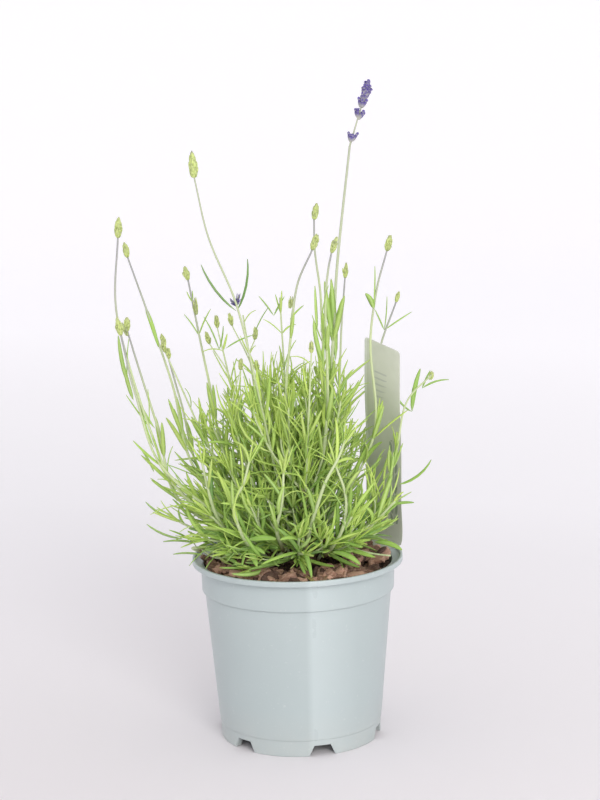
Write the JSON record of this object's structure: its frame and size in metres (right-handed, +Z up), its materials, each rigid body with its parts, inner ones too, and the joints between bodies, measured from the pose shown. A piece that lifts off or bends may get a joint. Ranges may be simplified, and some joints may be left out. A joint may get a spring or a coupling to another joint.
{
  "type": "potted lavender",
  "caption": "Young lavender plant with slender flower stems and narrow leaves, in a round tapered nursery pot with a plain plant label.",
  "frame": {"origin": "on the surface that the pot stands on, on the pot's axis, which is also the middle of the whole plant's box to within 3 mm", "axes": "+Z up along the pot's axis, -Y to the front, +X to the right seen from the front, the side of the plant label"},
  "size_m": [0.2086, 0.1543, 0.402],
  "materials": {
    "pot_plastic": "satin",
    "potting_soil": "matte",
    "bark": "matte",
    "crown_wood": "matte",
    "label_plastic": "matte",
    "flower_stem": "matte",
    "flower_bud": "matte",
    "violet_floret": "matte",
    "foliage": "satin"
  },
  "bodies": {
    "root": {"pot": "pot_plastic", "potting_soil": "potting_soil", "woody_crown": "crown_wood", "plant_label": "label_plastic", "bark_chip_01": "bark", "bark_chip_02": "bark", "bark_chip_03": "bark", "bark_chip_04": "bark", "bark_chip_05": "bark", "bark_chip_06": "bark", "flower_stem_01": "flower_stem", "flower_stem_02": "flower_stem", "flower_stem_03": "flower_stem", "flower_stem_04": "flower_stem", "flower_stem_05": "flower_stem", "flower_stem_06": "flower_stem", "flower_stem_07": "flower_stem", "flower_stem_08": "flower_stem", "flower_stem_09": "flower_stem", "flower_stem_10": "flower_stem", "flower_stem_11": "flower_stem", "flower_stem_12": "flower_stem", "flower_stem_13": "flower_stem", "flower_stem_14": "flower_stem", "flower_spike_01": "violet_floret", "flower_spike_02": "flower_bud", "flower_spike_03": "flower_bud", "flower_spike_04": "flower_bud", "flower_spike_05": "flower_bud", "flower_spike_06": "flower_bud", "flower_spike_07": "flower_bud", "flower_spike_08": "flower_bud", "flower_spike_09": "flower_bud", "flower_spike_10": "flower_bud", "flower_spike_11": "flower_bud", "flower_spike_12": "flower_bud", "flower_spike_13": "flower_bud", "flower_spike_14": "flower_bud", "leafy_shoot_01": "foliage", "leafy_shoot_02": "foliage", "leafy_shoot_03": "foliage", "leafy_shoot_04": "foliage", "leafy_shoot_05": "foliage", "leafy_shoot_06": "foliage", "leafy_shoot_07": "foliage", "leafy_shoot_08": "foliage", "leafy_shoot_09": "foliage", "leafy_shoot_10": "foliage", "leafy_shoot_11": "foliage", "leafy_shoot_12": "foliage", "leafy_shoot_13": "foliage", "leafy_shoot_14": "foliage", "leafy_shoot_15": "foliage", "leafy_shoot_16": "foliage", "leafy_shoot_17": "foliage", "leafy_shoot_18": "foliage", "leafy_shoot_19": "foliage", "leafy_shoot_20": "foliage", "leafy_shoot_21": "foliage", "leafy_shoot_22": "foliage"}
  },
  "joints": []
}
